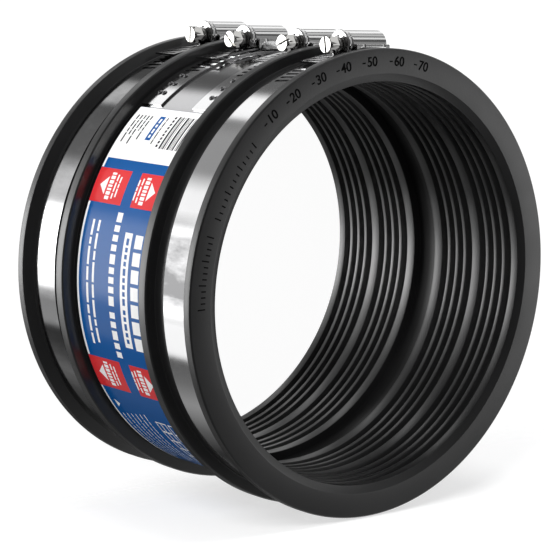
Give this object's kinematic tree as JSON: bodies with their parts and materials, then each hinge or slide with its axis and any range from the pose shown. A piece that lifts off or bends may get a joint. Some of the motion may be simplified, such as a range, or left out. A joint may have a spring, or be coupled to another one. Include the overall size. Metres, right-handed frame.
{
  "type": "flexible pipe coupling",
  "caption": "Rubber pipe coupling: a ribbed sleeve with sealing lips inside, a steel shear ring with a label, and worm-drive clamps that tighten it on two pipes.",
  "frame": {"origin": "centre of the lower mouth, at the lower rim's face", "axes": "+Z along the pipe axis, upwards; the clamp housings are on the +Y side and the screw heads face -X"},
  "size_m": [0.194, 0.2007, 0.12],
  "materials": {
    "sleeve_rubber": "satin moulded rubber",
    "band_steel": "bright rolled stainless strip",
    "housing_steel": "pressed stainless sheet",
    "screw_steel": "plated steel",
    "label_film": "glossy printed film"
  },
  "bodies": {
    "coupling": {"rubber_sleeve": "sleeve_rubber", "shear_ring": "band_steel", "printed_label": "label_film", "clamp_band_1": "band_steel", "clamp_band_4": "band_steel", "clamp_strap_2": "band_steel", "clamp_strap_3": "band_steel", "tail_band_2": "band_steel", "tail_band_3": "band_steel", "saddle_1": "housing_steel", "saddle_2": "housing_steel", "saddle_3": "housing_steel", "saddle_4": "housing_steel", "housing_1": "housing_steel", "housing_2": "housing_steel", "housing_3": "housing_steel", "housing_4": "housing_steel"},
    "screw_1": {"worm_screw_1": "screw_steel"},
    "screw_2": {"worm_screw_2": "screw_steel"},
    "screw_3": {"worm_screw_3": "screw_steel"},
    "screw_4": {"worm_screw_4": "screw_steel"}
  },
  "joints": [
    {"name": "screw_1_turn", "type": "hinge", "parent": "coupling", "child": "screw_1", "pos_m": [0, 0.09765, 0.01527], "axis": [1, 0, 0], "continuous": true},
    {"name": "screw_2_turn", "type": "hinge", "parent": "coupling", "child": "screw_2", "pos_m": [0, 0.09705, 0.04262], "axis": [1, 0, 0], "continuous": true},
    {"name": "screw_3_turn", "type": "hinge", "parent": "coupling", "child": "screw_3", "pos_m": [0, 0.09705, 0.07738], "axis": [1, 0, 0], "continuous": true},
    {"name": "screw_4_turn", "type": "hinge", "parent": "coupling", "child": "screw_4", "pos_m": [0, 0.09765, 0.10473], "axis": [1, 0, 0], "continuous": true}
  ]
}
